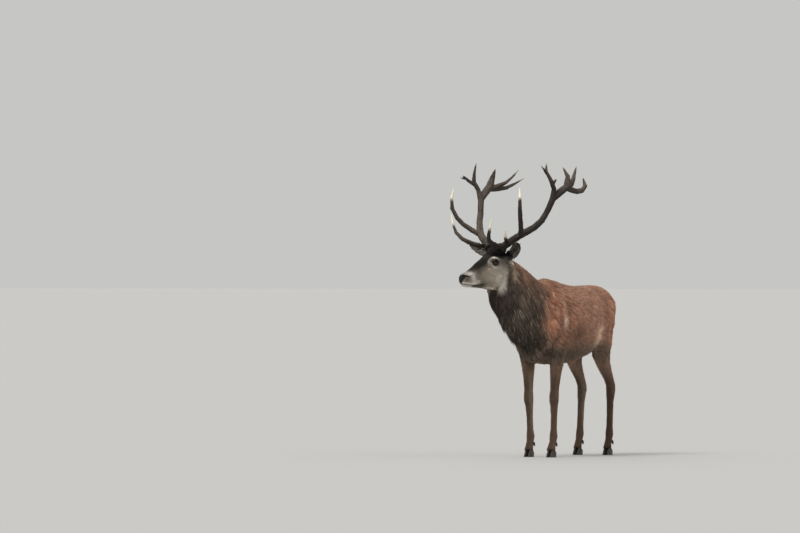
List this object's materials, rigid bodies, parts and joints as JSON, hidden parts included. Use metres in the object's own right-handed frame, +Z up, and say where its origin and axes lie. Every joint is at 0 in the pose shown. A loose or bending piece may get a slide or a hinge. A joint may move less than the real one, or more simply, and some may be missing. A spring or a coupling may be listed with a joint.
{
  "type": "red deer stag",
  "caption": "Life-size standing red deer stag with a full mane and branched antlers, head turned to its right, as a still display model that rests on its hooves.",
  "frame": {"origin": "on the floor, under the middle of the stag's box", "axes": "+Z up, the stag faces -Y, and its left side is +X"},
  "size_m": [0.9252, 1.8276, 2.0578],
  "materials": {
    "body_coat": "short reddish-brown hair lying along the body, greyer on the belly, cream round the tail",
    "mane_coat": "long dark grey-brown mane hair in strands, redder on top of the neck",
    "face_coat": "very short grey-brown hair, paler round the eye and on the lips, bare black nose",
    "leg_coat": "short brown leg hair",
    "antler": "rough grooved brown antler bone with worn ivory tips",
    "hoof": "dark horn, slightly shiny, dusty at the sole",
    "eye": "wet dark brown eye"
  },
  "bodies": {
    "root": {"trunk": "body_coat", "neck": "mane_coat", "head": "face_coat", "tail": "body_coat", "ear_left": "face_coat", "eye_left": "eye", "ear_right": "face_coat", "eye_right": "eye", "foreleg_left": "leg_coat", "foreleg_right": "leg_coat", "hindleg_left": "leg_coat", "hindleg_right": "leg_coat", "hoof_fore_left_inner": "hoof", "dewclaw_fore_left_inner": "hoof", "hoof_fore_left_outer": "hoof", "dewclaw_fore_left_outer": "hoof", "hoof_fore_right_inner": "hoof", "dewclaw_fore_right_inner": "hoof", "hoof_fore_right_outer": "hoof", "dewclaw_fore_right_outer": "hoof", "hoof_hind_left_inner": "hoof", "dewclaw_hind_left_inner": "hoof", "hoof_hind_left_outer": "hoof", "dewclaw_hind_left_outer": "hoof", "hoof_hind_right_inner": "hoof", "dewclaw_hind_right_inner": "hoof", "hoof_hind_right_outer": "hoof", "dewclaw_hind_right_outer": "hoof", "antler_left_lower_beam": "antler", "antler_left_upper_beam": "antler", "antler_left_brow_tine": "antler", "antler_left_bez_tine": "antler", "antler_left_trez_tine": "antler", "antler_left_front_fork": "antler", "antler_left_rear_fork": "antler", "antler_right_lower_beam": "antler", "antler_right_upper_beam": "antler", "antler_right_brow_tine": "antler", "antler_right_trez_tine": "antler", "antler_right_front_fork": "antler", "antler_right_rear_fork": "antler"}
  },
  "joints": []
}
